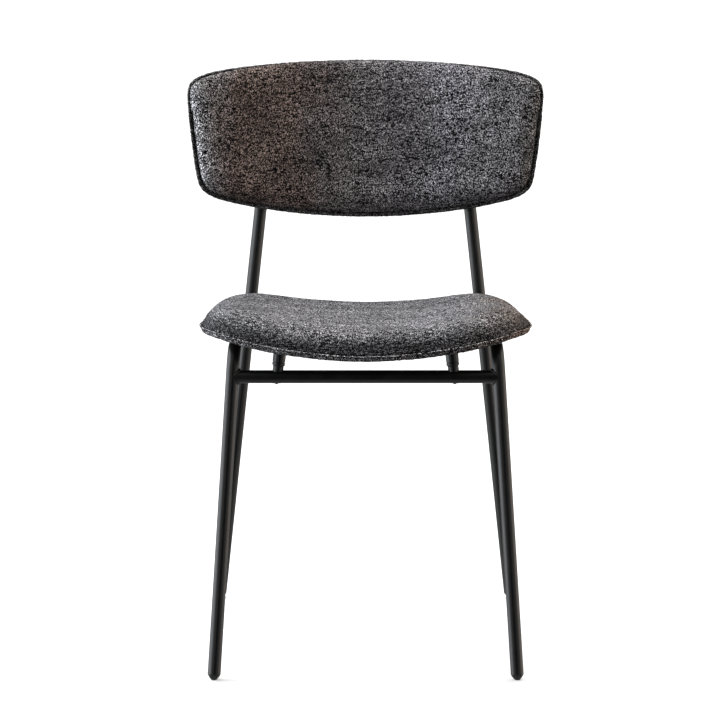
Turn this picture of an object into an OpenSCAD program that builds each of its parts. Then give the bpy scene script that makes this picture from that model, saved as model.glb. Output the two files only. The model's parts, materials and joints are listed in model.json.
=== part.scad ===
// Upholstered dining chair: a welded round-tube steel frame that carries a dished plywood seat
// and a curved plywood backrest, both padded with foam and covered in chenille.
// The chair stands on Z = 0 and faces -Y; X = 0 is its plane of symmetry, and Y = 0 is half way
// between its front and rear feet. Left is -X, the left side as seen from the front.

/* [Tube] */
// Outer diameter of every frame tube
tube_d = 18; // [16:0.5:20]
// Wall thickness of the tubes
tube_wall = 1.5; // [1:0.1:2]
// Distance from the front feet to the rear feet, between tube centres
foot_depth = 480; // [460:5:500]

/* [Front legs] */
// Half the distance between the front feet
front_foot_x = 209; // [200:1:215]
// Half the distance between the front legs where they turn into the side rails
front_knee_x = 179.8; // [172:0.1:182]
// Height of the corner where a front leg turns into its side rail
front_knee_z = 457.4; // [450:0.1:458.4]
// How far a front leg leans back up to that corner
front_lean = 44.4; // [36:0.1:46]
// Radius of the bend at the corner, on the tube's centre line
front_bend_r = 30; // [27:1:32]

/* [Rear legs] */
// Half the distance between the rear feet
rear_foot_x = 216.5; // [210:0.5:222]
// How much a rear leg comes in towards the middle for each millimetre of height
rear_splay = 0.108; // [0.1:0.002:0.115]
// How much a rear leg leans forward for each millimetre of height, below its bend
rear_rake = 0.093; // [0.085:0.001:0.1]
// Height of the bend between rear leg and upright
rear_knee_z = 447.4; // [442:0.1:452]
// Radius of that bend, on the tube's centre line
rear_bend_r = 90; // [60:5:120]
// Height of the uprights' top ends
upright_top_z = 737.4; // [722:0.1:747]

/* [Crossbars] */
// Height of the front crossbar's centre line
front_bar_z = 416.6; // [412.4:0.1:418.4]
// Distance of the rear crossbar behind the front feet
rear_bar_back = 385; // [375:1:390]
// Distance of the rear crossbar's centre line below that of the side rails
rear_bar_drop = 6.5; // [6:0.5:9]

/* [Seat] */
// Half the width of the seat at its widest
seat_half_w = 226; // [220:1:230]
// Distance of the seat's widest place behind the front feet
seat_wide_back = 140; // [130:1:150]
// Length of the seat ahead of its widest place
seat_front_l = 160; // [150:1:165]
// Length of the seat behind its widest place
seat_rear_l = 275; // [265:1:280]
// How square the front corners are: 2 is an ellipse
seat_front_square = 2.6; // [2.2:0.1:3.2]
// How square the rear corners are
seat_rear_square = 5; // [4:0.5:7]
// Share of its width that the seat loses towards the rear
seat_taper = 0.084; // [0.05:0.002:0.12]
// Radius of the seat's side-to-side dish
seat_dish_r = 1105; // [950:5:1250]
// Slope of the seat, falling towards the rear
seat_slope = 0.06; // [0.05:0.005:0.07]
// Height of the seat's underside in the middle, above the front crossbar
seat_under_z = 449.9; // [447.4:0.1:452.4]
// Half the distance between the seat's screws, at the crossbars
seat_screw_x = 121; // [115:1:125]

/* [Backrest] */
// Half the width that the backrest's sides bow out to
back_half_w = 260; // [250:1:265]
// Rise of the top edge above the backrest's middle
back_rise = 110; // [105:1:115]
// Fall of the bottom edge below the backrest's middle
back_fall = 118; // [112:1:122]
// How far the top edge drops towards its ends
back_top_drop = 22.3; // [15:0.1:28]
// How far the bottom edge rises towards its ends
back_bottom_rise = 31.7; // [25:0.1:36]
// Height of the backrest's middle
back_mid_z = 692.4; // [687.4:0.1:697.4]
// Radius of the backrest's side-to-side curve
back_curve_r = 718; // [650:1:800]
// Angle at which the uprights and the backrest lean back
recline = 9.4; // [8.5:0.1:10]
// Heights of the two screws in each upright
back_screw_z = [642.4, 707.4]; // [632:0.1:712]

/* [Hidden] */

$fn = 48;
steps = 72;              // points round a seat or backrest outline
eps = 0.02;              // overrun of a cutting solid
tube_r = tube_d / 2;
bore_r = tube_r - tube_wall;
plug_r = bore_r - 0.15;  // plugs of the glides and caps, with a little play
front_y = -foot_depth / 2;
rear_y = foot_depth / 2;
foot_gap = 8;            // from the floor up to a tube's end, along the tube
through = 60;            // length of a cut that goes right through a part
weld_back = 1.5;         // from a welded tube's end to the centre line of the tube it meets

black_metal = [0.09, 0.09, 0.09];
black_plastic = [0.06, 0.06, 0.06];
chenille = [0.31, 0.30, 0.31];
chenille_dark = [0.25, 0.24, 0.24];
cloth = [0.08, 0.08, 0.08];
plywood = [0.72, 0.56, 0.38];
foam_white = [0.90, 0.88, 0.80];
zinc = [0.70, 0.71, 0.72];

// Points that the tubes run through, on the right-hand side
front_foot = [front_foot_x, front_y, 0];
front_knee = [front_knee_x, front_y + front_lean, front_knee_z];
function rear_x(z) = rear_foot_x - rear_splay * z;
function rear_leg_y(z) = rear_y - rear_rake * z;
function upright_y(z) = rear_leg_y(rear_knee_z) + tan(recline) * (z - rear_knee_z);
rear_foot = [rear_x(0), rear_y, 0];
rear_knee = [rear_x(rear_knee_z), rear_leg_y(rear_knee_z), rear_knee_z];
upright_top = [rear_x(upright_top_z), upright_y(upright_top_z), upright_top_z];

function unit(v) = v / norm(v);
function between(a, b, t) = a + (b - a) * t;

// The side rail is square to the front leg and ends on the centre line of the rear leg
front_up = unit(front_knee - front_foot);
rear_up = [-rear_splay, -rear_rake, 1];
rail_end = rear_foot + rear_up * (front_up * (front_knee - rear_foot)) / (front_up * rear_up);

// The crossbars' centre lines: half length, Y and Z
front_bar = between(front_foot, front_knee, front_bar_z / front_knee_z);
rear_bar = between(front_knee, rail_end,
                   (front_y + rear_bar_back - front_knee.y) / (rail_end.y - front_knee.y))
           - [0, 0, rear_bar_drop];

// ---- Tubes ----

// Places children so that their Z axis runs from a towards b, with a at the origin
module along(a, b) {
    d = unit(b - a);
    translate(a) rotate([0, acos(d.z), atan2(d.y, d.x)]) children();
}

module straight_tube(a, b, r, bore) {
    along(a, b) linear_extrude(norm(b - a)) ring(r, bore);
}

module ring(r, bore) {
    difference() {
        circle(r);
        if (bore > 0) circle(bore);
    }
}

// One tube from a to c with a single bend at the corner b
module bent_tube(a, b, c, bend_r, r, bore) {
    e1 = unit(b - a);
    e2 = unit(c - b);
    turn = acos(e1 * e2);
    run = bend_r * tan(turn / 2);
    inward = unit(e2 - e1 * (e1 * e2));
    centre = b - e1 * run + inward * bend_r;
    x = -inward;
    z = cross(x, e1);
    multmatrix([[x.x, e1.x, z.x, centre.x], [x.y, e1.y, z.y, centre.y],
                [x.z, e1.z, z.z, centre.z], [0, 0, 0, 1]]) {
        translate([bend_r, 0, 0]) rotate([90, 0, 0])
            linear_extrude(norm(b - a) - run) ring(r, bore);
        rotate_extrude(angle = turn) translate([bend_r, 0]) ring(r, bore);
        rotate([0, 0, turn]) translate([bend_r, 0, 0]) rotate([-90, 0, 0])
            linear_extrude(norm(c - b) - run) ring(r, bore);
    }
}

module on_side(side) {
    if (side < 0) mirror([1, 0, 0]) children();
    else children();
}

// A straight stretch of one leg, as a solid that cuts another tube's end to a saddle
module leg_cutter(foot, knee) {
    along(between(foot, knee, 0.5), knee) cylinder(h = norm(knee - foot) / 2, r = tube_r);
}

module front_leg(side) {
    start = front_foot + unit(front_knee - front_foot) * foot_gap;
    end = rail_end - unit(rail_end - front_knee) * weld_back;
    color(black_metal) on_side(side) difference() {
        bent_tube(start, front_knee, end, front_bend_r, tube_r, bore_r);
        leg_cutter(rear_foot, rear_knee);
    }
}

module rear_leg(side) {
    start = rear_foot + unit(rear_knee - rear_foot) * foot_gap;
    color(black_metal) on_side(side) difference() {
        bent_tube(start, rear_knee, upright_top, rear_bend_r, tube_r, bore_r);
        for (z = back_screw_z) back_screw_axis(z)
            cylinder(h = tube_d + 6, r = screw_hole_r, center = true);
    }
}

module crossbar(bar, foot, knee) {
    end = bar - [weld_back, 0, 0];
    difference() {
        straight_tube([-end.x, end.y, end.z], end, tube_r, bore_r);
        for (side = [-1, 1]) on_side(side) {
            leg_cutter(foot, knee);
            seat_screw_axis(bar) {
                cylinder(h = tube_d, r = screw_hole_r);
                translate([0, 0, -tube_d]) cylinder(h = tube_d, r = access_r);
            }
        }
    }
}

module front_crossbar() color(black_metal) crossbar(front_bar, front_foot, front_knee);
module rear_crossbar() color(black_metal) crossbar(rear_bar, front_knee, rail_end);

// ---- Feet and caps ----

// Foot glide: a plug in the tube and a tapered head whose sole is cut flat on the floor.
// The profile is [radius, distance along the leg from the floor].
module glide(foot, knee, side) {
    color(black_plastic) on_side(side) intersection() {
        along(foot, knee) rotate_extrude()
            polygon([[0, -3], [2, -3], [3.4, -0.4], [6, 2.6], [8.2, 6], [tube_r, foot_gap],
                     [plug_r, foot_gap], [plug_r, 24], [plug_r - 1, 26], [0, 26]]);
        translate([foot.x - 20, foot.y - 20, 0]) cube([40, 40, 60]);
    }
}

// Domed end cap of an upright, with its plug inside the tube.
// The profile is [radius, distance along the upright from its end].
module upright_cap(side) {
    color(black_plastic) on_side(side) along(upright_top, upright_top * 2 - rear_knee)
        rotate_extrude()
            polygon([[0, -16], [plug_r, -16], [plug_r, 0], [tube_r, 0], [8.6, 1.6], [7.2, 2.8],
                     [4.4, 3.7], [0, 4]]);
}

// ---- Curved panels ----

// Point of a rounded square of half size 1 in the direction of an angle
function squircle(angle, square) =
    [cos(angle), sin(angle)]
    / pow(pow(abs(cos(angle)), square) + pow(abs(sin(angle)), square), 1 / square);

function seat_outline() = [for (i = [0 : steps - 1])
    let (angle = i * 360 / steps,
         p = squircle(angle, sin(angle) < 0 ? seat_front_square : seat_rear_square),
         narrow = p.y > 0 ? 1 - seat_taper * p.y : 1)
    [seat_half_w * narrow * p.x, p.y]];

// Seat surface: a height above the underside at a place in plan
droop_back = 60;         // behind the front feet, where the front edge starts to turn down
droop = 0.0007;          // how fast it turns down
function seat_z(x, y) =
    let (ahead = max(0, front_y + droop_back - y))
    seat_under_z + x * x / (2 * seat_dish_r) - seat_slope * (y - front_bar.y) - droop * ahead * ahead;
function seat_place(o, inset, share, h) =
    let (len = o.y < 0 ? seat_front_l : seat_rear_l,
         x = o.x * share * (1 - inset / seat_half_w),
         y = front_y + seat_wide_back + o.y * share * (len - inset))
    [x, y, seat_z(x, y) + h];

// Half the backrest's width at a height, and its outline point for a rounded-square point
bow_top = 129;           // height above the middle at which the sides stand widest apart
bow = 0.00044;           // how fast they come in below it
back_top_square = 9.8;   // squareness of the corners: 2 is an ellipse
back_bottom_square = 13;
function back_half(w) = back_half_w - bow * (w - bow_top) * (w - bow_top);
function back_point(p, x, passes) =
    let (top = back_rise - back_top_drop * pow(x / 250, 2),
         bottom = -back_fall + back_bottom_rise * pow(x / 250, 2),
         w = (top + bottom) / 2 + p.y * (top - bottom) / 2,
         x2 = p.x * back_half(w))
    passes == 0 ? [x2, w] : back_point(p, x2, passes - 1);
function back_outline() = [for (i = [0 : steps - 1])
    let (angle = i * 360 / steps,
         p = squircle(angle, sin(angle) > 0 ? back_top_square : back_bottom_square))
    back_point(p, p.x * back_half_w, 3)];

// Backrest surface: n is how far in front of the rear face a point lies
back_origin = [0, 238.6, back_mid_z];
function back_xyz(x, w, n) =
    let (m = n + x * x / (2 * back_curve_r))
    back_origin + [x, w * sin(recline) - m * cos(recline), w * cos(recline) + m * sin(recline)];
function back_place(o, inset, share, n) =
    let (half = (o.y > 0 ? back_rise : back_fall))
    back_xyz(o.x * share * (1 - inset / back_half_w), o.y * share * (1 - inset / half), n);

// A solid swept round an outline. Each profile entry is [inset, share, height]; a closed
// profile makes a ring, and an open one runs from the middle of the low face, out to the rim
// and back to the middle of the high face.
function further_out(entry) = entry[1] - entry[0] / seat_half_w;
module swept(outline, profile, place, closed = false) {
    n = len(outline);
    m = len(profile);
    rings = [for (p = profile) for (o = outline) place(o, p[0], p[1], p[2])];
    walls = [for (j = [0 : closed ? m - 1 : m - 2]) for (i = [0 : n - 1])
        let (a = j * n + i, b = j * n + (i + 1) % n, k = (j + 1) % m,
             c = k * n + (i + 1) % n, d = k * n + i)
        each (further_out(profile[k]) > further_out(profile[j])
            ? [[a, d, b], [b, d, c]] : [[a, c, b], [a, d, c]])];
    first = place([0, 0], 0, 0, profile[0][2]);
    last = place([0, 0], 0, 0, profile[m - 1][2]);
    lids = closed ? [] : [for (i = [0 : n - 1])
        each [[m * n, i, (i + 1) % n], [m * n + 1, (m - 1) * n + (i + 1) % n, (m - 1) * n + i]]];
    polyhedron(points = concat(rings, closed ? [] : [first, last]), faces = concat(walls, lids),
               convexity = 6);
}

// The middle of a face: rings that close in from the rim, whose height grows by a crown. All
// layers share these rings, so that layers that lie on each other keep their gap.
hem = 14;                // width of the border's edge that is turned in below the shell
inner_inset = 6;
function inner_rings(h, crown) =
    [for (s = [0.55, 0.35, 0.18]) [inner_inset, s, h + crown * (1 - s * s)]];
function face(inset, h) =
    concat([[inset, 1, h], [max(inset + 1, hem), 1, h]], inner_rings(h, 0));

// The stuffed edge of a cushion, from its seam [inset, height] in to its top; width is the inset
// at which it stops rising
function rim(seam, width, top) = [for (i = [0 : 5])
    let (u = pow(i / 5, 2))
    [between(seam[0], width, u), 1,
     between(seam[1], top, pow(1 - pow(1 - u, 2.8), 1 / 1.9))]];

// The same edge for a layer that lies deeper
function lowered(rim, by) = [for (p = rim) [p[0] + by, 1, p[2] - by]];
function flipped(list) = [for (i = [len(list) - 1 : -1 : 0]) list[i]];

// ---- Seat ----

shell_t = 10;            // plywood thickness
seat_shell_h = 4.2;      // shell underside above the lowest fabric
seat_foam_h = seat_shell_h + shell_t + 0.15;
seat_cloth_h = 3;        // dust cloth above the lowest fabric
skin = 1;                // thickness of the covers

seat_top_h = 36;         // cushion's height at the inner end of its rim
seat_rim = rim([1, 9.2], 60, seat_top_h);
seat_crown = 1.5;
foam_gap = 1.3;          // from a cover's outer face down to the foam

module seat_solid(profile, closed = false) {
    swept(seat_outline(), profile, function (o, i, s, h) seat_place(o, i, s, h), closed);
}

module seat_shell() {
    color(plywood) difference() {
        seat_solid(concat(
            flipped(face(6, seat_shell_h)),
            [[4.4, 1, seat_shell_h + 2], [4.4, 1, seat_shell_h + shell_t - 2]],
            face(6, seat_shell_h + shell_t)));
        seat_mounts() t_nut_pocket(seat_shell_h + shell_t);
    }
}

module seat_foam() {
    color(foam_white) seat_solid(concat(
        flipped(face(6, seat_foam_h)),
        [for (p = lowered(seat_rim, foam_gap)) if (p[2] > seat_foam_h) p],
        inner_rings(seat_top_h - foam_gap, seat_crown)));
}

module seat_top_cover() {
    color(chenille) seat_solid(concat(
        flipped(inner_rings(seat_top_h - skin, seat_crown)),
        flipped(lowered(seat_rim, skin)),
        seat_rim,
        inner_rings(seat_top_h, seat_crown)));
}

// Sewn border: from the seam round the shell's edge, in a soft roll, to the underside
module seat_border() {
    color(chenille_dark) seat_solid(
        [[hem, 1, seat_cloth_h], [9, 1, 1.4], [5, 1, 0], [1.8, 1, 1], [0.3, 1, 3.6],
         [0, 1, 6], [0.8, 1, 8], [1.8, 1, 7.8], [1.4, 1, 5.6], [2.6, 1, 4],
         [hem, 1, seat_shell_h - 0.3]], true);
}

module seat_underside_cloth() {
    color(cloth) difference() {
        seat_solid(concat(
            flipped(face(hem + 0.5, seat_cloth_h)),
            face(hem + 0.5, seat_cloth_h + 0.7)));
        seat_mounts() cylinder(h = through, r = spacer_r + 0.5, center = true);
    }
}

// ---- Seat fixing ----

screw_r = 2.9;           // M6 screws, a little under the nut's bore
screw_hole_r = 3.3;
access_r = 5.8;          // hole in a crossbar's underside that lets a screw's head in
t_nut_r = 4;
t_nut_bore_r = 3;
t_nut_flange = 1.5;
t_nut_flange_r = 9;
tip_inside = 2;          // how far a screw's tip stays below the panel's padded face
sink = 0.4;              // gap that a part keeps from the curved face it ends at
spacer_r = tube_r - 0.15;

// The screw's axis is square to the dished underside and passes through the crossbar's centre
seat_normal = unit([-seat_screw_x / seat_dish_r, seat_slope, 1]);
function seat_reach(bar, s = 20, passes = 4) =
    let (p = [seat_screw_x, bar.y, bar.z] + seat_normal * s,
         s2 = s + (seat_z(p.x, p.y) - p.z) * seat_normal.z)
    passes == 0 ? s2 : seat_reach(bar, s2, passes - 1);

module seat_screw_axis(bar) {
    p = [seat_screw_x, bar.y, bar.z];
    along(p, p + seat_normal) children();
}

// Places children at the underside reference, above each crossbar and on both sides.
// $lean turns a height above the panel into a distance along the leaning screw axis.
module seat_mounts() {
    $lean = seat_normal.z;
    for (side = [-1, 1]) for (bar = [front_bar, rear_bar]) on_side(side)
        seat_screw_axis(bar) translate([0, 0, seat_reach(bar)]) children();
}

// Flanged nut let into a shell whose far face is at the given height
module t_nut(height) {
    top = height * $lean - sink;
    barrel = shell_t - 1;   // stays just inside the panel
    difference() {
        union() {
            translate([0, 0, top - t_nut_flange]) cylinder(h = t_nut_flange, r = t_nut_flange_r);
            translate([0, 0, top - barrel]) cylinder(h = barrel, r = t_nut_r);
        }
        cylinder(h = through, r = t_nut_bore_r, center = true);
    }
}

module t_nut_pocket(height) {
    cylinder(h = through, r = t_nut_r + 0.05, center = true);
    translate([0, 0, height * $lean - t_nut_flange - sink - eps])
        cylinder(h = 20, r = t_nut_flange_r + 0.1);
}

// Button-head screw whose head lies below z = 0 and whose tip is at the given length
head_r = 5.5;
head_h = 3.2;
key_r = 2.3;             // hexagon socket, across its corners
key_depth = 2;
module screw(length) {
    difference() {
        union() {
            cylinder(h = length, r = screw_r);
            rotate_extrude()
                polygon([[0, -head_h], [3, -head_h], [4.6, -2.4], [head_r, -0.6], [head_r, 0], [0, 0]]);
        }
        translate([0, 0, -head_h - eps]) cylinder(h = key_depth, r = key_r, $fn = 6);
    }
}

module seat_t_nuts() {
    color(zinc) seat_mounts() t_nut(seat_shell_h + shell_t);
}

// The seat's screws have their heads inside the crossbars, against the upper wall
head_z = 4;              // a head's bearing face above the bar's centre line
module seat_screws() {
    color(black_metal) for (side = [-1, 1]) for (bar = [front_bar, rear_bar]) on_side(side)
        seat_screw_axis(bar) translate([0, 0, head_z])
            screw(seat_reach(bar) + seat_shell_h + shell_t - tip_inside - head_z);
}

// Saddle washers between the heads and the curved wall
washer_r = 5;
module seat_washers() {
    color(black_metal) for (side = [-1, 1]) for (bar = [front_bar, rear_bar]) on_side(side)
        intersection() {
            seat_screw_axis(bar) difference() {
                translate([0, 0, head_z]) cylinder(h = tube_r, r = washer_r);
                cylinder(h = through, r = screw_hole_r, center = true);
            }
            bar_solid(bar, bore_r - eps);
        }
}

// Plastic plugs that close the holes in the crossbars' undersides, with a small pip outside
plug_top = -6;           // a plug's inner face, below the bar's centre line
pip_r = 2.2;
pip_h = 1.3;
module seat_bar_plugs() {
    color(black_plastic) for (side = [-1, 1]) for (bar = [front_bar, rear_bar]) on_side(side) {
        intersection() {
            seat_screw_axis(bar) translate([0, 0, -tube_d])
                cylinder(h = tube_d + plug_top, r = access_r - 0.15);
            bar_solid(bar, tube_r + 0.25);
        }
        seat_screw_axis(bar) translate([0, 0, -tube_r]) rotate_extrude()
            polygon([[0, -pip_h], [pip_r - 0.8, -pip_h], [pip_r, -pip_h / 2], [pip_r, 1], [0, 1]]);
    }
}

module bar_solid(bar, r) {
    translate([0, bar.y, bar.z]) rotate([0, 90, 0]) cylinder(h = 2 * bar.x, r = r, center = true);
}

// Moulded post between a crossbar and the shell, with a neck that sits on top of the bar
saddle = 1;              // how far a post reaches down over the bar
neck_r = 7.4;
neck_l = 7;              // length of a tall post's neck, above the bar
module seat_spacer(side, bar) {
    reach = seat_reach(bar) + seat_shell_h * seat_normal.z - sink;
    neck = tube_r + neck_l;
    color(black_plastic) on_side(side) difference() {
        seat_screw_axis(bar) rotate_extrude()
            polygon(reach > neck + 8
                ? [[screw_hole_r, 0], [neck_r, 0], [neck_r, neck - 1], [8.6, neck], [spacer_r, neck + 1],
                   [spacer_r, neck + 3.4], [8.2, neck + 3.9], [8.2, neck + 4.6],
                   [spacer_r, neck + 5.1], [spacer_r, reach], [screw_hole_r, reach]]
                : [[screw_hole_r, 0], [neck_r, 0], [neck_r, tube_r + 2], [spacer_r, tube_r + 3.6],
                   [spacer_r, reach], [screw_hole_r, reach]]);
        bar_solid(bar, tube_r + eps);
        translate([0, bar.y - tube_d, bar.z - tube_d])
            cube([2 * seat_screw_x, 2 * tube_d, tube_d + tube_r - saddle]);
    }
}

// ---- Backrest ----

back_shell_n = 3.5;      // shell's rear face in front of the rear fabric
back_shell_t = 9.5;
back_foam_n = back_shell_n + back_shell_t + 0.15;
back_top_n = 36;         // cushion's front face at the inner end of its rim
back_rim = rim([5.2, 17.4], 50, back_top_n);
back_crown = 2;
rear_cover_n = 0.1;      // rear faces of the rear cover and of the wadding under it
wadding_n = 1.2;
wadding_t = 2;
back_spacer_r = spacer_r - 0.6;

module back_solid(profile, closed = false) {
    swept(back_outline(), profile, function (o, i, s, n) back_place(o, i, s, n), closed);
}

module back_shell() {
    color(plywood) difference() {
        back_solid(concat(
            flipped(face(5, back_shell_n)),
            [[3, 1, back_shell_n + 2], [3, 1, back_shell_n + back_shell_t - 2]],
            face(5, back_shell_n + back_shell_t)));
        back_mounts() t_nut_pocket(back_shell_n + back_shell_t);
    }
}

module back_foam() {
    color(foam_white) back_solid(concat(
        flipped(face(6.5, back_foam_n)),
        lowered(back_rim, foam_gap),
        inner_rings(back_top_n - foam_gap, back_crown)));
}

module back_front_cover() {
    color(chenille) back_solid(concat(
        flipped(inner_rings(back_top_n - skin, back_crown)),
        flipped(lowered(back_rim, skin)),
        back_rim,
        inner_rings(back_top_n, back_crown)));
}

module back_wadding() {
    color(foam_white) difference() {
        back_solid(concat(flipped(face(8, wadding_n)), face(8, wadding_n + wadding_t)));
        back_mounts() cylinder(h = through, r = spacer_r, center = true);
    }
}

module back_rear_cover() {
    color(chenille_dark) difference() {
        back_solid(concat(flipped(face(6.4, rear_cover_n)), face(6.4, skin)));
        back_mounts() cylinder(h = through, r = spacer_r - 0.4, center = true);
    }
}

// Sewn border that rolls over the edge between the front and rear covers
module back_border() {
    color(chenille_dark) back_solid(
        [[6.2, 1, 0.1], [2.5, 1, 1.4], [0.5, 1, 5], [0, 1, 11], [0.3, 1, 14.5], [2, 1, 17.2],
         [5, 1, 17.3], [5, 1, 16.1], [2.7, 1, 16], [1.5, 1, 14], [1.2, 1, 11], [1.7, 1, 5.6],
         [3.4, 1, 2.6], [6.2, 1, 1.3]], true);
}

// ---- Backrest fixing ----

// A screw's axis is square to the curved shell and passes through the upright's centre
function back_turn(z) = atan(rear_x(z) / back_curve_r);
function back_lean(z) = cos(back_turn(z));
function back_normal(z) =
    [-sin(back_turn(z)), -back_lean(z) * cos(recline), back_lean(z) * sin(recline)];
function back_gap(p) =
    let (q = p - back_origin)
    (-q.y * cos(recline) + q.z * sin(recline)) - p.x * p.x / (2 * back_curve_r);
function back_reach(z, s = 14, passes = 5) =
    let (p = [rear_x(z), upright_y(z), z] + back_normal(z) * s, s2 = s - back_gap(p))
    passes == 0 ? s2 : back_reach(z, s2, passes - 1);

module back_screw_axis(z) {
    p = [rear_x(z), upright_y(z), z];
    along(p, p + back_normal(z)) children();
}

// Places children at the rear-face reference, at each screw on both sides
module back_mounts() {
    for (side = [-1, 1]) for (z = back_screw_z) {
        $lean = back_lean(z);
        on_side(side) back_screw_axis(z) translate([0, 0, back_reach(z)]) children();
    }
}

module back_t_nuts() {
    color(zinc) back_mounts() t_nut(back_shell_n + back_shell_t);
}

module back_screws() {
    color(black_metal) for (side = [-1, 1]) for (z = back_screw_z) on_side(side)
        back_screw_axis(z) translate([0, 0, -tube_r])
            screw(back_reach(z) + tube_r + back_shell_n + back_shell_t - tip_inside);
}

module back_spacers() {
    color(black_plastic) for (side = [-1, 1]) for (z = back_screw_z) on_side(side)
        difference() {
            back_screw_axis(z) difference() {
                cylinder(h = back_reach(z) + back_shell_n * back_lean(z) - sink,
                         r = back_spacer_r);
                cylinder(h = through, r = screw_hole_r, center = true);
            }
            along(rear_knee, upright_top)
                cylinder(h = norm(upright_top - rear_knee), r = tube_r + eps);
        }
}

front_leg(-1);  // front_leg_left
front_leg(1);  // front_leg_right
rear_leg(-1);  // rear_leg_left
rear_leg(1);  // rear_leg_right
front_crossbar();
rear_crossbar();
glide(front_foot, front_knee, -1);  // glide_front_left
glide(front_foot, front_knee, 1);  // glide_front_right
glide(rear_foot, rear_knee, -1);  // glide_rear_left
glide(rear_foot, rear_knee, 1);  // glide_rear_right
upright_cap(-1);  // upright_cap_left
upright_cap(1);  // upright_cap_right
seat_shell();
seat_foam();
seat_top_cover();
seat_border();
seat_underside_cloth();
seat_t_nuts();
seat_screws();
seat_washers();
seat_bar_plugs();
seat_spacer(-1, front_bar);  // seat_spacer_front_left
seat_spacer(1, front_bar);  // seat_spacer_front_right
seat_spacer(-1, rear_bar);  // seat_spacer_rear_left
seat_spacer(1, rear_bar);  // seat_spacer_rear_right
back_shell();
back_foam();
back_wadding();
back_front_cover();
back_border();
back_rear_cover();
back_t_nuts();
back_screws();
back_spacers();
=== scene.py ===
"""Upholstered dining chair: what the eye sees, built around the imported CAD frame.

The steel tubes, plugs, posts, screws and plywood are the CAD nodes with their own finishes. The
soft goods replace the plain CAD solids: a crowned seat cushion and back cushion, their sewn
borders, the rear panel and the dust cloth. A seam ridge and the weld beads are added. Shapes are
worked out in millimetres, in the row's frame, and scaled to metres when a mesh is made.
"""
import json
import math

import bpy
import numpy as np
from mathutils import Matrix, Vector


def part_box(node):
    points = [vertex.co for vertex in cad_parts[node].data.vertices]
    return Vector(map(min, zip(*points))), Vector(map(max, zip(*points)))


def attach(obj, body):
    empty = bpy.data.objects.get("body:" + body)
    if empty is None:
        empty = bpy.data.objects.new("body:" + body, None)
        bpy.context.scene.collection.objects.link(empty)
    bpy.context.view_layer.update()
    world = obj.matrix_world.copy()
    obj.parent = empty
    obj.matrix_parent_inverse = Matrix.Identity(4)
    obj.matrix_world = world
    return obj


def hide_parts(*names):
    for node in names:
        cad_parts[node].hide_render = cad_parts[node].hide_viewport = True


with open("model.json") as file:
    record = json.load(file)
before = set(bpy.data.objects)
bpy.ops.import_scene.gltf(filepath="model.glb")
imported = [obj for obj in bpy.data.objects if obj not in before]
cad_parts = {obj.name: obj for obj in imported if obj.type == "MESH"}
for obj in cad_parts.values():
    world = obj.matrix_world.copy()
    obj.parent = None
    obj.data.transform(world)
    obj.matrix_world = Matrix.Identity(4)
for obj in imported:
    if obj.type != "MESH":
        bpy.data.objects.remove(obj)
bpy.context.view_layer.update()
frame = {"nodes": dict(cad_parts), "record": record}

MM = 0.001
SEED = 7


# ---------------------------------------------------------------- shape of the chair, as in CAD

def low(node):
    return np.array(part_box(node)[0]) / MM


def high(node):
    return np.array(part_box(node)[1]) / MM


# Seat, seen from above: half width, and lengths ahead of its widest place and behind it
SEAT_HALF_W = high("seat_border")[0]
SEAT_FRONT_Y = low("seat_border")[1]
SEAT_REAR_Y = high("seat_border")[1]
SEAT_FRONT_L = 160
SEAT_REAR_L = SEAT_REAR_Y - SEAT_FRONT_Y - SEAT_FRONT_L
SEAT_WIDE_Y = SEAT_FRONT_Y + SEAT_FRONT_L
SEAT_SQUARE = (2.6, 5)          # front and rear corners: 2 is an ellipse
SEAT_TAPER = 0.084              # share of its width that the seat has lost at the rear
SEAT_DISH_R = 1105              # radius of the curve across it
SEAT_SLOPE = 0.06               # how steeply it falls to the rear
SEAT_UNDER_Z = 449.9            # underside in the middle, above the front crossbar
FRONT_BAR_Y = (low("front_crossbar")[1] + high("front_crossbar")[1]) / 2
DROOP_Y = SEAT_FRONT_Y + 80     # ahead of this the seat's edge turns down
DROOP = 0.0007

# Backrest, square to its own face
BACK_HALF_W = 260
BACK_RISE = 110
BACK_FALL = 118
BACK_REF_X = 250                # distance from the middle at which the next two are measured
BACK_TOP_DROP = 22.3
BACK_BOTTOM_RISE = 31.7
BACK_WIDE_W = 129               # height up the face where the sides' curve is widest
BACK_SIDE_CURVE = 4.4           # how far a side draws in, 100 mm from there
BACK_SQUARE = (13, 9.8)         # lower and upper corners
BACK_CURVE_R = 718
RECLINE = math.radians(9.4)
BACK_ORIGIN = (0, 238.6, 692.4)


def squircle(angle, square):
    """Point of a rounded square of half size 1 in the direction of an angle."""
    c, s = np.cos(angle), np.sin(angle)
    r = (np.abs(c) ** square + np.abs(s) ** square) ** (-1 / square)
    return c * r, s * r


def seat_outline(angle):
    """Seat outline as a share of its half width and of its length ahead or behind."""
    px, py = squircle(angle, np.where(np.sin(angle) < 0, *SEAT_SQUARE))
    return px * (1 - SEAT_TAPER * np.maximum(py, 0)), py


def seat_z(x, y):
    """Height of the seat's underside."""
    ahead = np.maximum(0, DROOP_Y - y)
    return (SEAT_UNDER_Z + x * x / (2 * SEAT_DISH_R) - SEAT_SLOPE * (y - FRONT_BAR_Y)
            - DROOP * ahead ** 2)


def seat_point(outline, inset, share, h):
    """Point of the seat: inset from the outline, share of the way out, height over the
    underside."""
    ox, oy = outline
    length = np.where(oy < 0, SEAT_FRONT_L, SEAT_REAR_L)
    x = ox * share * (SEAT_HALF_W - inset)
    y = SEAT_WIDE_Y + oy * share * (length - inset)
    return np.stack([x, y, seat_z(x, y) + h], -1)


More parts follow.
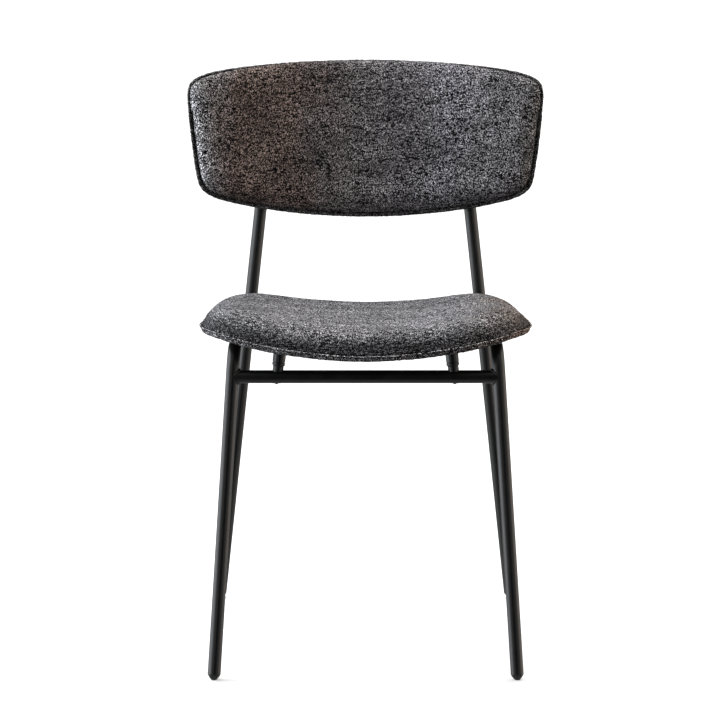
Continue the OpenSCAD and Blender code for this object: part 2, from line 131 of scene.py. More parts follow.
def back_outline(angle):
    """Backrest outline in millimetres: across and up its face. Width and height depend on each
    other, so they are worked out in a few rounds."""
    px, py = squircle(angle, np.where(np.sin(angle) > 0, BACK_SQUARE[1], BACK_SQUARE[0]))
    x = px * BACK_HALF_W
    for _ in range(4):
        top = BACK_RISE - BACK_TOP_DROP * (x / BACK_REF_X) ** 2
        bottom = -BACK_FALL + BACK_BOTTOM_RISE * (x / BACK_REF_X) ** 2
        w = (top + bottom) / 2 + py * (top - bottom) / 2
        x = px * (BACK_HALF_W - BACK_SIDE_CURVE * ((w - BACK_WIDE_W) / 100) ** 2)
    return x, w


def back_surface(x, w, n):
    """Point at a place on the backrest's face, n in front of its rear face."""
    m = n + x * x / (2 * BACK_CURVE_R)
    return np.stack([BACK_ORIGIN[0] + x,
                     BACK_ORIGIN[1] + w * math.sin(RECLINE) - m * math.cos(RECLINE),
                     BACK_ORIGIN[2] + w * math.cos(RECLINE) + m * math.sin(RECLINE)], -1)


def back_place(outline, inset, share):
    """Place on the backrest's face, across and up: inset from the outline, share of the way out."""
    ox, ow = outline
    half = np.where(ow > 0, BACK_RISE, BACK_FALL)
    return ox * share * (1 - inset / BACK_HALF_W), ow * share * (1 - inset / half)


def back_point(outline, inset, share, n):
    return back_surface(*back_place(outline, inset, share), n)


RIM_POWER = (2.8, 1.9)          # across and up: how full a stuffed edge is; 2, 2 is an ellipse
RIM_EVEN = 1.4                  # evens out the steps along its curve


def rim(t, upward=RIM_POWER[1]):
    """Share of its width and of its height that a stuffed edge has reached; t runs from its seam,
    0, to its flat top, 1."""
    turn = math.pi / 2 * (1 - (1 - t) ** RIM_EVEN)
    return 1 - np.maximum(np.cos(turn), 0) ** (2 / RIM_POWER[0]), np.sin(turn) ** (2 / upward)


# ---------------------------------------------------------------- noise and mesh helpers

def hashed(ix, iy, iz, seed):
    """A repeatable random number from 0 to 1 for each lattice point."""
    h = (ix * 374761393 + iy * 668265263 + iz * 2147483647 + seed * 974634777) & 0xFFFFFFFF
    h = ((h ^ (h >> 13)) * 1274126177) & 0xFFFFFFFF
    h = ((h ^ (h >> 16)) * 2246822519) & 0xFFFFFFFF
    return (h ^ (h >> 15)) / 0xFFFFFFFF


def noise(points, size, seed):
    """Smooth noise from -1 to 1 whose grains have the given size, one number or one per axis."""
    p = points / np.asarray(size, float)
    cell = np.floor(p).astype(np.int64)
    f = p - cell
    f = f * f * (3 - 2 * f)
    total = np.zeros(len(p))
    for corner in range(8):
        dx, dy, dz = corner & 1, corner >> 1 & 1, corner >> 2 & 1
        weight = ((f[:, 0] if dx else 1 - f[:, 0]) * (f[:, 1] if dy else 1 - f[:, 1])
                  * (f[:, 2] if dz else 1 - f[:, 2]))
        total += weight * hashed(cell[:, 0] + dx, cell[:, 1] + dy, cell[:, 2] + dz, seed + SEED)
    return total * 2 - 1


def make_object(name, points, faces, material, replaces=()):
    """A smooth mesh from points in millimetres, riding on the chair."""
    mesh = bpy.data.meshes.new(name)
    mesh.from_pydata((np.asarray(points) * MM).tolist(), [], faces)
    mesh.polygons.foreach_set("use_smooth", [True] * len(mesh.polygons))
    mesh.materials.append(material)
    mesh.update()
    piece = bpy.data.objects.new(name, mesh)
    bpy.context.scene.collection.objects.link(piece)
    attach(piece, "root")
    if replaces:
        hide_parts(*replaces)
    return piece


def diagonal_cross(points, quads):
    """Cross product of each quad's diagonals: along its normal, twice its area long."""
    return np.cross(points[quads[:, 2]] - points[quads[:, 0]],
                    points[quads[:, 3]] - points[quads[:, 1]])


def normals_of(points, faces):
    """Vertex normals of a quad and triangle mesh, for moving points along them."""
    quads = np.array([f if len(f) == 4 else (*f, f[-1]) for f in faces])
    cross = diagonal_cross(points, quads)
    total = np.zeros_like(points)
    for k in range(4):
        np.add.at(total, quads[:, k], cross)
    return total / np.maximum(np.linalg.norm(total, axis=1, keepdims=True), 1e-9)


def disc_grid(across, along):
    """A square grid wrapped onto rings: share of the way out and angle of each point, its faces,
    and its outer loop. The grid has no pole, so its cells stay even all over."""
    x, y = np.meshgrid(np.linspace(-1, 1, across), np.linspace(-1, 1, along))
    x, y = x.ravel(), y.ravel()
    share = np.maximum(np.abs(x), np.abs(y))
    safe = np.maximum(share, 1e-9)
    side = np.abs(x) >= np.abs(y)
    angle = np.where(side, y / safe * np.sign(x) * math.pi / 4 + np.where(x < 0, math.pi, 0),
                     np.sign(y) * (math.pi / 2 - x / safe * math.pi / 4))
    faces = [(j * across + i, j * across + i + 1, (j + 1) * across + i + 1, (j + 1) * across + i)
             for j in range(along - 1) for i in range(across - 1)]
    loop = (list(range(across)) + [j * across + across - 1 for j in range(1, along)]
            + [(along - 1) * across + i for i in range(across - 2, -1, -1)]
            + [j * across for j in range(along - 2, 0, -1)])
    return share, angle, faces, loop


def ring_faces(rings, count):
    """Faces between closed rings of points, the last ring joined to the first."""
    faces = []
    for i in range(rings):
        a, b = i * count, (i + 1) % rings * count
        for k in range(count):
            m = (k + 1) % count
            faces.append((a + k, b + k, b + m, a + m))
    return faces


# Sizes of the pile's tufts, of the specks between them and of its parted rows
TUFT = (3.0, 3.6, 3.6)
SPECK = 2.2
ROW = (22, 4.2, 4.2)


def pile(points, normals, height):
    """Moves points along their normals as the tufts and the parted rows of chenille do."""
    tufts = 0.6 * noise(points, TUFT, 1) + 0.8 * noise(points, SPECK, 2)
    rows = noise(points, ROW, 3)
    return points + normals * (height * (0.7 * tufts - 0.55 * np.maximum(rows, 0)))[:, None]


# ---------------------------------------------------------------- material helpers

def set_inputs(made, **inputs):
    """Sets inputs of a node by name, with _ for each space."""
    for key, value in inputs.items():
        made.inputs[key.replace("_", " ")].default_value = value


def feed(tree, entry, value):
    """Gives an input a socket or a constant."""
    if isinstance(value, bpy.types.NodeSocket):
        tree.links.new(value, entry)
    else:
        entry.default_value = (*value, 1) if isinstance(value, tuple) else value


def new_material(name):
    material = bpy.data.materials.new(name)
    material.use_nodes = True
    return material, material.node_tree, material.node_tree.nodes["Principled BSDF"]


def node(tree, kind, **inputs):
    made = tree.nodes.new(kind)
    set_inputs(made, **inputs)
    return made


def object_coords(tree, scale=(1, 1, 1)):
    """Places on the chair in metres, stretched by a scale per axis."""
    coords = tree.nodes.new("ShaderNodeTexCoord")
    mapping = node(tree, "ShaderNodeMapping", Scale=scale)
    tree.links.new(coords.outputs["Object"], mapping.inputs["Vector"])
    return mapping.outputs["Vector"]


def noise_texture(tree, vector, scale, detail=2.0, rough=0.5, distort=0.0):
    made = node(tree, "ShaderNodeTexNoise", Scale=scale, Detail=detail, Roughness=rough,
                Distortion=distort)
    tree.links.new(vector, made.inputs["Vector"])
    return made.outputs["Fac"]


def ramp(tree, value, stops):
    """Colour ramp through (position, colour) stops."""
    made = tree.nodes.new("ShaderNodeValToRGB")
    elements = made.color_ramp.elements
    while len(elements) < len(stops):
        elements.new(0.5)
    while len(elements) > len(stops):
        elements.remove(elements[-1])
    for element, (position, colour) in zip(elements, stops):
        element.position = position
        element.color = (*colour, 1)
    tree.links.new(value, made.inputs["Fac"])
    return made.outputs["Color"]


def grey(value):
    return (value, value, value)


def level_ramp(tree, value, stops):
    """Colour ramp through (position, level) stops, in greys."""
    return ramp(tree, value, [(at, grey(level)) for at, level in stops])


def mix(tree, kind, factor, a, b):
    """Mixes two colours. Each input is a socket or a constant."""
    made = tree.nodes.new("ShaderNodeMix")
    made.data_type = "RGBA"
    made.blend_type = kind
    for index, value in ((0, factor), (6, a), (7, b)):
        feed(tree, made.inputs[index], value)
    return made.outputs[2]


def multiply_add(tree, value, factor, addend):
    """value times factor plus addend. The addend is a socket or a constant."""
    made = tree.nodes.new("ShaderNodeMath")
    made.operation = "MULTIPLY_ADD"
    for index, entry in enumerate((value, factor, addend)):
        feed(tree, made.inputs[index], entry)
    return made.outputs[0]


def part_of(tree, vector, axis):
    """One axis of a vector."""
    made = tree.nodes.new("ShaderNodeSeparateXYZ")
    tree.links.new(vector, made.inputs[0])
    return made.outputs[axis]


def bump(tree, height, strength, distance, below=None):
    made = node(tree, "ShaderNodeBump", Strength=strength, Distance=distance)
    tree.links.new(height, made.inputs["Height"])
    if below is not None:
        tree.links.new(below, made.inputs["Normal"])
    return made.outputs["Normal"]


# ---------------------------------------------------------------- chenille

# Noises of the cloth: stretch per axis, scale, detail, roughness, distortion
GRAIN = ((2.6, 1, 1), 500, 1.0, 0.5, 0.1)
TUFTS = ((1.2, 1, 1), 500, 1.0, 0.5, 0.2)
PARTINGS = ((0.26, 1, 1), 540, 1.5, 0.6, 0.2)
GATHERS = ((0.5, 1, 1), 60, 2.0, 0.6, 0.5)
STREAKS = ((0.4, 1, 1), 34, 2.0, 0.6, 0.6)
DRIFT = ((1, 1, 0.4), 14, 2.0, 0.5, 0.0)

ZONE_SCALE = 1.6                # ramp positions per metre across the chair
ZONE_DRIFT = 0.16               # how far the bands stray, in ramp positions

# (x, colour) of the cloth's broad tones, in metres across the chair, set to the tones seen from the
# front. They are painted light and shade: on the backrest a pale painted highlight along its left
# rim, pale cool light on its right wing, which faces the cool left light, and painted brown shade on
# its left wing, which only the warm right light reaches; on the seat, lighter in the middle, darker
# towards its left edge and brown on its right tip, where the warm right light falls.
BACK_LIGHT_BANDS = [(-0.26, (1.8, 1.8, 1.88)), (-0.225, (1.45, 1.34, 1.34)), (-0.19, (0.96, 0.73, 0.64)),
              (-0.10, (0.91, 0.70, 0.62)), (-0.065, (0.78, 0.69, 0.68)), (0.00, (1.00, 0.95, 0.96)),
              (0.06, (0.94, 0.90, 0.94)), (0.12, (1.25, 1.22, 1.33)), (0.20, (1.15, 1.11, 1.16)),
              (0.26, (1.05, 1.01, 1.00))]
SEAT_LIGHT_BANDS = [(-0.22, (1.00, 0.99, 1.04)), (-0.17, (1.06, 1.05, 1.10)), (-0.12, (1.24, 1.22, 1.28)),
              (0.12, (1.19, 1.17, 1.23)), (0.17, (1.08, 1.02, 1.01)), (0.215, (1.14, 0.94, 0.83))]
PLAIN_ZONES = [(0, (0.68, 0.65, 0.65))]

# (upward part of the surface's direction, level): painted shade and light by the way a face turns,
# set to how the faces look from the front: faces turned down darker, the seat's upright and
# downward faces much darker and its top lighter, the backrest's upward faces darker
BACK_FACING_SHADE = [(-0.5, 0.66), (0.0, 1.0), (0.25, 1.0), (0.6, 0.80)]
SEAT_FACING_SHADE = [(0.0, 0.30), (0.6, 0.37), (0.93, 1.13)]
BORDER_FACING_SHADE = [(-0.5, 0.70), (0.3, 1.0)]

SEAT_NAP = (1, 0.85, 1)


def chenille(name, tone_and_light_bands, facing_shade, nap=(1, 1, 1), gather_least=0.35, light_and_shade_tint=(1, 1, 1), brightest=0.54):
    """Charcoal chenille: an even pile broken by fine dark specks and by short dark partings that
    run across the cloth between its yarns. nap stretches the pattern along an axis on which its
    scale is below 1, gather_least is how strong the partings are where they are weakest, and
    brightest is the tone of the palest yarns."""
    material, tree, shader = new_material(name)

    def pattern(texture, stops):
        stretch, *settings = texture
        vector = object_coords(tree, tuple(a * b for a, b in zip(stretch, nap)))
        value = noise_texture(tree, vector, *settings)
        return value, level_ramp(tree, value, stops)

    grain, yarns = pattern(GRAIN, [(0.39, 0.000), (0.475, 0.040), (0.57, brightest)])
    tufts, shade = pattern(TUFTS, [(0.41, 0.03), (0.53, 1.38)])
    _, parting = pattern(PARTINGS, [(0.425, 0.0), (0.47, 1.10)])
    _, gather = pattern(GATHERS, [(0.40, gather_least), (0.56, 1.0)])
    _, streaks = pattern(STREAKS, [(0.36, 0.76), (0.64, 1.20)])

    # painted light and shade: broad tones across the chair, whose edges waver
    stretch, *settings = DRIFT
    drift = noise_texture(tree, object_coords(tree, stretch), *settings)
    sway = multiply_add(tree, drift, ZONE_DRIFT, 0.5 - ZONE_DRIFT / 2)
    across = multiply_add(tree, part_of(tree, object_coords(tree), "X"), ZONE_SCALE, sway)
    bands = ramp(tree, across, [(x * ZONE_SCALE + 0.5, colour) for x, colour in tone_and_light_bands])

    # painted shade and light by the way each face turns
    facing = tree.nodes.new("ShaderNodeNewGeometry").outputs["Normal"]
    upward = multiply_add(tree, part_of(tree, facing, "Z"), 0.5, 0.5)
    painted_facing_shade = level_ramp(tree, upward, [(z / 2 + 0.5, level) for z, level in facing_shade])

    colour = mix(tree, "MULTIPLY", 1.0, yarns, shade)
    colour = mix(tree, "MULTIPLY", gather, colour, parting)
    # the broad painted light and shade, the painted shade by the way each face turns, and the tone
    # of a lit or shaded copy of the cloth multiply its colour
    for layer in (streaks, bands, painted_facing_shade, light_and_shade_tint):
        colour = mix(tree, "MULTIPLY", 1.0, colour, layer)
    tree.links.new(colour, shader.inputs["Base Color"])
    normal = bump(tree, grain, 0.8, 0.0018)
    normal = bump(tree, tufts, 0.7, 0.003, normal)
    tree.links.new(normal, shader.inputs["Normal"])
    set_inputs(shader, Roughness=0.95, Specular_IOR_Level=0.03, Sheen_Weight=0.05,
               Sheen_Roughness=0.5, Sheen_Tint=(0.9, 0.9, 0.95, 1))
    return material


# ---------------------------------------------------------------- hard materials and dust cloth

def powder_coat(name):
    """Satin black powder coat with its faint orange-peel."""
    material, tree, shader = new_material(name)
    peel = noise_texture(tree, object_coords(tree), 900, 2.0, 0.5)
    wear = noise_texture(tree, object_coords(tree), 60, 4.0, 0.6)
    colour = ramp(tree, wear, [(0.3, (0.0035, 0.0036, 0.0036)), (0.8, (0.0060, 0.0060, 0.0058))])
    tree.links.new(colour, shader.inputs["Base Color"])
    rough = level_ramp(tree, wear, [(0.3, 0.30), (0.7, 0.38)])
    tree.links.new(rough, shader.inputs["Roughness"])
    tree.links.new(bump(tree, peel, 0.06, 0.0002), shader.inputs["Normal"])
    set_inputs(shader, Specular_IOR_Level=0.5)
    return material


def moulded(name, colour):
    """Moulded plastic with a fine matt grain."""
    material, tree, shader = new_material(name)
    grain = noise_texture(tree, object_coords(tree), 1500, 2.0, 0.5)
    shade = noise_texture(tree, object_coords(tree), 90, 3.0, 0.6)
    darker = tuple(c * 0.7 for c in colour)
    tree.links.new(ramp(tree, shade, [(0.3, darker), (0.7, colour)]), shader.inputs["Base Color"])
    tree.links.new(bump(tree, grain, 0.12, 0.0002), shader.inputs["Normal"])
    set_inputs(shader, Roughness=0.3)
    return material


def steel(name, colour, rough):
    """Turned steel with fine scratches."""
    material, tree, shader = new_material(name)
    scratches = noise_texture(tree, object_coords(tree, (1, 1, 0.1)), 1600, 3.0, 0.6)
    darker = tuple(c * 0.8 for c in colour)
    tree.links.new(ramp(tree, scratches, [(0.3, darker), (0.7, colour)]),
                   shader.inputs["Base Color"])
    tree.links.new(bump(tree, scratches, 0.08, 0.0001), shader.inputs["Normal"])
    set_inputs(shader, Metallic=1.0, Roughness=rough)
    return material


def plywood(name):
    """Beech plywood: fine grain along X with small darker flecks."""
    material, tree, shader = new_material(name)
    grain = noise_texture(tree, object_coords(tree, (0.06, 1, 1)), 420, 4.0, 0.6, 0.5)
    flecks = noise_texture(tree, object_coords(tree, (0.2, 1, 1)), 900, 2.0, 0.5)
    colour = ramp(tree, grain, [(0.3, (0.36, 0.21, 0.10)), (0.7, (0.62, 0.43, 0.24))])
    fleck_shade = level_ramp(tree, flecks, [(0.4, 0.6), (0.6, 1.0)])
    colour = mix(tree, "MULTIPLY", 0.3, colour, fleck_shade)
    tree.links.new(colour, shader.inputs["Base Color"])
    tree.links.new(bump(tree, grain, 0.15, 0.0003), shader.inputs["Normal"])
    set_inputs(shader, Roughness=0.6)
    return material


def dust_cloth_material(name):
    """Thin black non-woven cloth with its dimpled bonding points."""
    material, tree, shader = new_material(name)
    dots = node(tree, "ShaderNodeTexVoronoi", Scale=520, Randomness=0.15)
    tree.links.new(object_coords(tree), dots.inputs["Vector"])
    fibres = noise_texture(tree, object_coords(tree), 900, 4.0, 0.7, 1.0)
    colour = level_ramp(tree, fibres, [(0.35, 0.006), (0.65, 0.022)])
    tree.links.new(colour, shader.inputs["Base Color"])
    normal = bump(tree, dots.outputs["Distance"], 0.35, 0.0006)
    tree.links.new(bump(tree, fibres, 0.3, 0.0004, normal), shader.inputs["Normal"])
    set_inputs(shader, Roughness=0.8)
    return material


back_fabric = chenille("chenille_back", BACK_LIGHT_BANDS, BACK_FACING_SHADE)
seat_fabric = chenille("chenille_seat", SEAT_LIGHT_BANDS, SEAT_FACING_SHADE, SEAT_NAP, 0.7, brightest=0.36)
# a darker copy of the seat's cloth: painted shade on the border below the seam
seat_border_shaded_fabric = chenille("chenille_seat_border_shaded", SEAT_LIGHT_BANDS, BORDER_FACING_SHADE,
                              light_and_shade_tint=(0.95, 0.93, 0.92))
# a lighter copy of the seat's cloth: painted highlight on the seam ridge, where the light from above
# catches it
seam_highlight_fabric = chenille("chenille_seam_highlight", SEAT_LIGHT_BANDS, BORDER_FACING_SHADE, light_and_shade_tint=(1.1, 1.07, 1.05))
back_border_fabric = chenille("chenille_back_border", PLAIN_ZONES, BORDER_FACING_SHADE, brightest=0.34)
powder = powder_coat("black_powder_coat")
dust = dust_cloth_material("dust_cloth_black")

FINISHES = {
    "frame_tube": powder,
    "black_plastic": moulded("black_moulded_plastic", (0.004, 0.004, 0.0043)),
    "black_steel": steel("black_oxide_steel", (0.03, 0.03, 0.03), 0.35),
    "zinc_steel": steel("zinc_plated_steel", (0.62, 0.63, 0.66), 0.3),
    "plywood": plywood("beech_plywood"),
}
for subpart in frame["record"]["subparts"]:
    if subpart["material_slot"] in FINISHES:
        cad = frame["nodes"][subpart["node"]]
        cad.data.materials.clear()
        cad.data.materials.append(FINISHES[subpart["material_slot"]])


# ---------------------------------------------------------------- cushions

LIP_H = 1.8                     # how quickly a sewn edge draws in to the cushion above it
UNDER_RINGS = ((0, 1), (10, 0.66), (10, 0.33))      # added inset and share of the way out


def closed_pad(name, material, outline_of, point_of, grid, seam, rim_size, flat_share, crown,
               under, replaces, tufts, lip=0, fullness=None):
    """A crowned cushion: a stuffed rim that rises from its seam, a crowned top and a flat
    underside.

    seam and under are (inset, height) of the sewn edge and of the underside; the seam's inset may
    be a function of the angle. rim_size and crown give the rim's width and height and how much
    the middle stands above it; flat_share is how far out the crowned top reaches. lip is how far
    the sewn edge stands out from the rim above it, and fullness, a function of the angle, how
    full the rim is.
    """
    share, angle, faces, loop = disc_grid(*grid)
    outline = outline_of(angle)
    t = np.clip((1 - share) / (1 - flat_share), 0, 1)
    across, up = rim(t, fullness(angle) if fullness else RIM_POWER[1])
    rim_inset, rim_top = rim_size
    seam_inset = seam[0](angle) if callable(seam[0]) else seam[0]
    rise = (rim_top - seam[1]) * up
    inset = seam_inset + across * (rim_inset - seam_inset) + lip * (1 - np.exp(-rise / LIP_H))
    inner = np.minimum(share / flat_share, 1)
    h = seam[1] + rise + crown * (1 - inner ** 2)
    points = point_of(outline, inset, inner, h)
    # underside: rings that close in from the seam
    loop_outline = outline_of(angle[loop])
    rings = [loop]
    start = len(points)
    extra = []
    for added_inset, ring_share in UNDER_RINGS:
        extra.append(point_of(loop_outline, under[0] + added_inset, ring_share, under[1]))
        rings.append(list(range(start, start + len(loop))))
        start += len(loop)
    centre = point_of((np.zeros(1), np.zeros(1)), 0, 0, under[1])
    points = np.concatenate([points, *extra, centre])
    for outer, inside in zip(rings, rings[1:]):
        for i in range(len(loop)):
            k = (i + 1) % len(loop)
            faces.append((outer[k], outer[i], inside[i], inside[k]))
    faces += [(rings[-1][(i + 1) % len(loop)], rings[-1][i], start) for i in range(len(loop))]
    # pile, which fades out towards the seam and isn't there on the underside
    fade = np.concatenate([np.clip((1 - share) / 0.01, 0.15, 1),
                           np.zeros(len(points) - len(share))])
    moved = pile(points, normals_of(points, faces), tufts)
    points = points + (moved - points) * fade[:, None]
    piece = make_object(name, points, faces, material, replaces)


SIDE_FULLNESS = (0.45, -0.36)   # added to the rim's upward power at the left and the right side
TIP_DROP = 4                    # how far the sewn edge sags at the seat's two side tips
FRONT_SAG = (2.6, 70)           # how far it sags in the middle of the front, and how wide
SAG_FADE = (12, 15)             # both sags end at this inset and grow outwards over this much
SHOULDER = (165, 52, 4.2)       # place across, width and height of the fuller sides
TOP_FADE = (20, 16)             # unevenness starts at this height and grows over this much


def seat_fullness(angle):
    """The seat's sides run out to a point; the left one is stuffed fuller."""
    side = np.clip((np.abs(np.cos(angle)) - 0.6) / 0.35, 0, 1)
    return RIM_POWER[1] + side * np.where(np.cos(angle) < 0, *SIDE_FULLNESS)


def seat_edge(outline, inset, share, h):
    """Seat points whose sewn edge sags at the side tips and in the middle of the front."""
    points = seat_point(outline, inset, share, h)
    tip = np.clip((np.abs(outline[0]) - 0.86) / 0.14, 0, 1) ** 2
    front = np.exp(-(points[..., 0] / FRONT_SAG[1]) ** 2) * (outline[1] < 0)
    sag = TIP_DROP * tip + FRONT_SAG[0] * front
    points[..., 2] -= sag * np.clip((SAG_FADE[0] - inset) / SAG_FADE[1], 0, 1)
    return points


def seat_pillow(outline, inset, share, h):
    """Seat points with the fuller sides and gentle unevenness of foam under stretched fabric."""
    points = seat_edge(outline, inset, share, h)
    flat = points.copy()
    flat[:, 2] = 0
    side = np.exp(-((np.abs(flat[:, 0]) - SHOULDER[0]) / SHOULDER[1]) ** 2)
    lift = 1.1 * noise(flat, 75, 11) + SHOULDER[2] * side
    points[:, 2] += lift * np.clip((h - TOP_FADE[0]) / TOP_FADE[1], 0, 1)
    return points


def back_pillow(outline, inset, share, n):
    """Backrest points with the gentle unevenness of foam under stretched fabric."""
    points = back_point(outline, inset, share, n)
    uneven = 1.0 * noise(points, 85, 12)
    points[:, 1] -= uneven * np.clip((n - TOP_FADE[0]) / TOP_FADE[1], 0, 1)
    return points


def back_seam_inset(angle):
    """The cushion bulges over the border along the top, most in the middle."""
    top = np.clip((np.sin(angle) - 0.32) / 0.12, 0, 1)
    middle = np.clip((0.66 - np.abs(np.cos(angle))) / 0.25, 0, 1)
    return 6.2 - (2.6 + 2.8 * middle) * top


# the seat's seam stands out from its border, so its inset is below 0
closed_pad("seat_cushion", seat_fabric, seat_outline, seat_pillow, grid=(290, 290),
           seam=(-3.2, 8.4), rim_size=(60, 36), flat_share=0.66, crown=1.5, under=(6, 14.4),
           replaces=("seat_top_cover", "seat_foam"), tufts=0.65, lip=4.6, fullness=seat_fullness)
closed_pad("back_cushion", back_fabric, back_outline, back_pillow, grid=(400, 210),
           seam=(back_seam_inset, 14.2), rim_size=(50, 36), flat_share=0.62, crown=2.0,
           under=(6.8, 14.2), replaces=("back_front_cover", "back_foam"), tufts=0.8)


# ---------------------------------------------------------------- borders

def spline(points, count):
    """Catmull-Rom curve through closed control points, evenly spaced along its length."""
    p = np.array(points, float)
    n = len(p)
    t = np.linspace(0, n, n * 24, endpoint=False)
    i = t.astype(int)
    f = (t - i)[:, None]
    a, b, c, d = p[(i - 1) % n], p[i % n], p[(i + 1) % n], p[(i + 2) % n]
    curve = 0.5 * (2 * b + (c - a) * f + (2 * a - 5 * b + 4 * c - d) * f ** 2
                   + (3 * b - a - 3 * c + d) * f ** 3)
    step = np.linalg.norm(np.roll(curve, -1, 0) - curve, axis=1)
    along = np.concatenate([[0], np.cumsum(step)])
    wanted = np.linspace(0, along[-1], count, endpoint=False)
    closed = np.concatenate([curve, curve[:1]])
    return np.stack([np.interp(wanted, along, closed[:, k]) for k in (0, 1)], -1)


def swept_ring(outline_of, point_of, profile, around, height):
    """A closed profile of (inset, height) swept round an outline, with a pile of its own height:
    points and faces."""
    outline = outline_of(np.arange(around) * math.tau / around)
    rows = [point_of(outline, inset, 1, h) for inset, h in profile]
    points = np.stack(rows, 1).reshape(-1, 3)
    faces = ring_faces(around, len(profile))
    return pile(points, normals_of(points, faces), height), faces


def border(name, material, outline_of, point_of, profile, around, count, height, replaces):
    """A fabric border round a cushion, around points long and count points round its section."""
    points, faces = swept_ring(outline_of, point_of, spline(profile, count), around, height)
    piece = make_object(name, points, faces, material, replaces)


# Sections of the borders as (inset, height): up the outside, over the seam, back down the inside
SEAT_BORDER = [(14, 3.1), (9, 1.2), (5, 0.0), (1.6, 0.4), (-0.8, 2.0), (-2.0, 4.4), (-1.6, 6.2),
               (0.6, 7.4), (3.0, 8.6), (3.8, 11.5), (3.5, 11.5), (2.8, 9.6), (1.9, 7.0), (2.3, 4.8),
               (4.6, 3.8), (14, 3.9)]
BACK_BORDER = [(6.2, 0.1), (2.7, 1.2), (0.6, 5), (-0.2, 10), (0.0, 14.5), (1.4, 17.2), (3.0, 17.4),
               (4.3, 15.4), (5.2, 14.0), (9.5, 13.8), (9.5, 13.2), (3.4, 13.1), (1.9, 12),
               (1.9, 5.6), (3.4, 2.8), (6.2, 1.5)]
SEAM_ROPE = (-3.3, 8.7, 1.25)   # inset, height and radius of the ridge that the seam stands up in
SEAT_AROUND = 1000
BACK_AROUND = 1100


def seam_ridge():
    inset, h, r = SEAM_ROPE
    profile = [(inset - r * math.cos(a), h + r * math.sin(a)) for a in np.arange(8) * math.tau / 8]
    points, faces = swept_ring(seat_outline, seat_edge, profile, SEAT_AROUND, 0.3)
    make_object("seat_seam_ridge", points, faces, seam_highlight_fabric)


border("seat_border_band", seat_border_shaded_fabric, seat_outline, seat_edge, SEAT_BORDER, SEAT_AROUND,
       50, 0.75, ("seat_border",))
seam_ridge()
border("back_border_band", back_border_fabric, back_outline, back_point, BACK_BORDER, BACK_AROUND,
       56, 0.9, ("back_border",))


# ---------------------------------------------------------------- rear panel and dust cloth

def cad_points(node_name):
    return np.array([v.co for v in frame["nodes"][node_name].data.vertices]) / MM


def back_posts():
    """Places on the backrest's face of the four posts, left and right, low and high."""
    points = cad_points("back_spacers")
    middle = (points[:, 2].max() + points[:, 2].min()) / 2
    places = []
    for side in (-1, 1):
        for end in (-1, 1):
            post = points[(points[:, 0] * side > 0) & ((points[:, 2] - middle) * end > 0)]
            x, _, z = (post.max(0) + post.min(0)) / 2
            places.append((x, (z - BACK_ORIGIN[2]) / math.cos(RECLINE)))
    return places


def seat_posts():
    """Places, seen from above, where the four posts meet the seat."""
    places = []
    for end in ("front", "rear"):
        for side in ("left", "right"):
            points = cad_points(f"seat_spacer_{end}_{side}")
            top = points[points[:, 2] > points[:, 2].max() - 2]
            places.append((top[:, 0].mean(), top[:, 1].mean()))
    return places


def pressed_in(x, y, posts, radius, soft):
    """How far each place is pressed in by the posts: 1 within their radius, fading out over
    soft."""
    pressed = np.zeros_like(x)
    for px, py in posts:
        distance = np.hypot(x - px, y - py)
        pressed = np.maximum(pressed, np.exp(-np.maximum(distance - radius, 0) / soft))
    return pressed


PANEL_EDGE = (6.6, 1.6, 1.5)    # rear panel: inset, height at its edge, how far it puffs from there
PANEL_INNER = (8, 3.2)          # inset and height of its inner face
PANEL_PRESS = 3.0               # height of its outer face under a post
CLOTH_INSET = 13.4              # dust cloth: inset from the seat's outline, and height
CLOTH_H = 3.3


def rear_panel():
    """Rear panel: softly puffed over its wadding and drawn in round each mounting post."""
    share, angle, faces, loop = disc_grid(300, 150)
    outline = back_outline(angle)
    edge = np.clip((1 - share) / 0.05, 0, 1)
    inset, edge_h, puff = PANEL_EDGE
    n = edge_h - puff * np.sqrt(edge * (2 - edge))
    x, w = back_place(outline, inset, share)
    pressed = pressed_in(x, w, back_posts(), 8, 6)
    points = back_surface(x, w, n + pressed * (PANEL_PRESS - n) * (n < 2))
    count = len(points)
    points = np.concatenate([points, back_point(outline, PANEL_INNER[0], share, PANEL_INNER[1])])
    outer = [(d, c, b, a) for a, b, c, d in faces]
    inner = [tuple(v + count for v in f) for f in faces]
    walls = [(a + count, b + count, b, a) for a, b in zip(loop, loop[1:] + loop[:1])]
    faces = outer + inner + walls
    fade = np.concatenate([np.clip((1 - share) / 0.02, 0, 1), np.zeros(count)])
    moved = pile(points, normals_of(points, faces), 0.35)
    points = points + (moved - points) * fade[:, None]
    piece = make_object("back_rear_panel", points, faces, back_border_fabric,
                        ("back_rear_cover", "back_wadding"))


def dust_cloth():
    """Thin cloth stretched under the seat, pressed up by each post and slightly slack between."""
    share, angle, faces, _ = disc_grid(180, 180)
    flat = seat_point(seat_outline(angle), CLOTH_INSET, share, CLOTH_H)
    pressed = pressed_in(flat[:, 0], flat[:, 1], seat_posts(), 10, 5)
    slack = 0.25 * noise(flat, 40, 21)
    flat[:, 2] += pressed * 0.6 + slack * (1 - pressed) * np.clip((1 - share) / 0.2, 0, 1)
    faces = [(d, c, b, a) for a, b, c, d in faces]
    piece = make_object("seat_dust_cloth", flat, faces, dust,
                        ("seat_underside_cloth",))
    thick = piece.modifiers.new("thickness", "SOLIDIFY")
    thick.thickness = 0.0003
    thick.offset = -1


rear_panel()
dust_cloth()


# ---------------------------------------------------------------- weld beads

